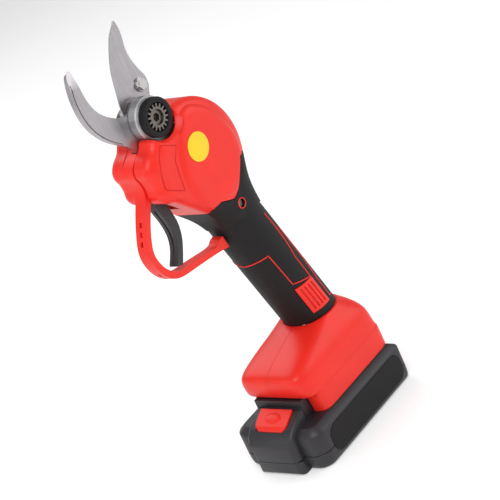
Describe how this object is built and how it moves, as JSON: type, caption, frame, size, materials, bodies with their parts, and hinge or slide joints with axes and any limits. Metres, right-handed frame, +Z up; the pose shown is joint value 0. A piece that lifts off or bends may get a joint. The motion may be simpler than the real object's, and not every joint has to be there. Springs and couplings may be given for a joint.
{
  "type": "battery pruner",
  "caption": "Cordless hand pruner with a hooked fixed blade and a motor-driven cutting blade, a trigger in a finger guard, a grip and a slide-on battery pack.",
  "frame": {"origin": "middle of the pack's flat underside, below the handle, on the tool's middle plane", "axes": "+Z up with the tool standing on its pack, -X towards the finger guard and the open side of the blades, +Y towards the moving blade's side"},
  "size_m": [0.1413, 0.075, 0.3302],
  "materials": {
    "red_casing": "satin moulded",
    "grip_rubber": "soft matt over-moulding",
    "dark_plastic": "fine moulded grain",
    "blade_steel": "ground",
    "dark_steel": "blackened",
    "bright_steel": "machined",
    "cast_aluminium": "cast",
    "yellow_label": "printed film",
    "circuit_board": "solder mask",
    "terminal_copper": "plated",
    "cable_red": "soft sleeve",
    "cable_black": "soft sleeve",
    "cell_sleeve": "shrink sleeve over a can"
  },
  "bodies": {
    "casing": {"battery_lead_black": "cable_black", "battery_lead_red": "cable_red", "blade_screw": "dark_steel", "casing_screw_1": "dark_steel", "casing_screw_2": "dark_steel", "casing_screw_3": "dark_steel", "casing_screw_4": "dark_steel", "controller_board": "circuit_board", "fixed_blade": "blade_steel", "gear_housing": "cast_aluminium", "grip_insert_left": "red_casing", "grip_insert_right": "red_casing", "grip_left": "grip_rubber", "grip_right": "grip_rubber", "heat_sink": "cast_aluminium", "housing_left": "red_casing", "housing_right": "red_casing", "lock_disc": "dark_steel", "motor_can": "bright_steel", "motor_end_cap": "dark_plastic", "motor_stator": "bright_steel", "pinion_bearing": "dark_steel", "pivot_bolt": "bright_steel", "ring_gear": "dark_steel", "round_label": "yellow_label", "sensor_board": "circuit_board", "splined_nut": "dark_steel", "terminal_blade_1": "terminal_copper", "terminal_blade_2": "terminal_copper", "terminal_block": "dark_plastic", "trigger_guard": "red_casing", "trigger_pin": "bright_steel", "trigger_spring": "bright_steel"},
    "moving_blade": {"moving_blade": "blade_steel", "blade_bolt": "dark_steel", "blade_nut": "dark_steel", "sector_gear": "dark_steel"},
    "pinion": {"bevel_pinion": "dark_steel"},
    "planet_1": {"planet_gear_1": "dark_steel"},
    "planet_2": {"planet_gear_2": "dark_steel"},
    "planet_3": {"planet_gear_3": "dark_steel"},
    "rotor": {"motor_rotor": "bright_steel"},
    "trigger": {"trigger": "dark_plastic", "trigger_magnet": "bright_steel"},
    "pack": {"pack_lower_case": "dark_plastic", "pack_upper_case": "dark_plastic", "cell_1": "cell_sleeve", "cell_2": "cell_sleeve", "cell_3": "cell_sleeve", "cell_4": "cell_sleeve", "cell_5": "cell_sleeve", "cell_holder_left": "dark_plastic", "cell_holder_right": "dark_plastic", "protection_board": "circuit_board"},
    "latch": {"latch_button": "red_casing"}
  },
  "joints": [
    {"name": "blade_hinge", "type": "hinge", "parent": "casing", "child": "moving_blade", "pos_m": [-0.0385, 0, 0.2685], "axis": [0, -1, 0], "range_deg": [0, 48]},
    {"name": "pinion_spin", "type": "hinge", "parent": "casing", "child": "pinion", "pos_m": [-0.02726, 0, 0.24068], "axis": [0.3746, 0, -0.9272], "range_deg": [-4, 196]},
    {"name": "planet_1_spin", "type": "hinge", "parent": "pinion", "child": "planet_1", "pos_m": [-0.01293, 0, 0.22706], "axis": [0.3746, 0, -0.9272], "range_deg": [-654, 14]},
    {"name": "planet_2_spin", "type": "hinge", "parent": "pinion", "child": "planet_2", "pos_m": [-0.02432, 0.00709, 0.22246], "axis": [0.3746, 0, -0.9272], "range_deg": [-654, 14]},
    {"name": "planet_3_spin", "type": "hinge", "parent": "pinion", "child": "planet_3", "pos_m": [-0.02432, -0.00709, 0.22246], "axis": [0.3746, 0, -0.9272], "range_deg": [-654, 14]},
    {"name": "rotor_spin", "type": "hinge", "parent": "casing", "child": "rotor", "pos_m": [-0.00853, 0, 0.19432], "axis": [0.3746, 0, -0.9272], "range_deg": [-14, 686]},
    {"name": "trigger_hinge", "type": "hinge", "parent": "casing", "child": "trigger", "pos_m": [-0.056, 0, 0.225], "axis": [0, -1, 0], "range_deg": [0, 14], "stiffness_Nm_per_rad": 0.05, "springref_deg": -11.46},
    {"name": "battery_slide", "type": "slide", "parent": "casing", "child": "pack", "axis": [-1, 0, 0], "range_m": [0, 0.08]},
    {"name": "latch_press", "type": "slide", "parent": "pack", "child": "latch", "axis": [0, 0, -1], "range_m": [0, 0.0035], "stiffness_N_per_m": 400, "springref_m": -0.002}
  ],
  "couplings": [
    {"joint": "pinion_spin", "follows": "blade_hinge", "ratio": 4},
    {"joint": "planet_1_spin", "follows": "blade_hinge", "ratio": -13.333},
    {"joint": "planet_2_spin", "follows": "blade_hinge", "ratio": -13.333},
    {"joint": "planet_3_spin", "follows": "blade_hinge", "ratio": -13.333},
    {"joint": "rotor_spin", "follows": "blade_hinge", "ratio": 14}
  ]
}
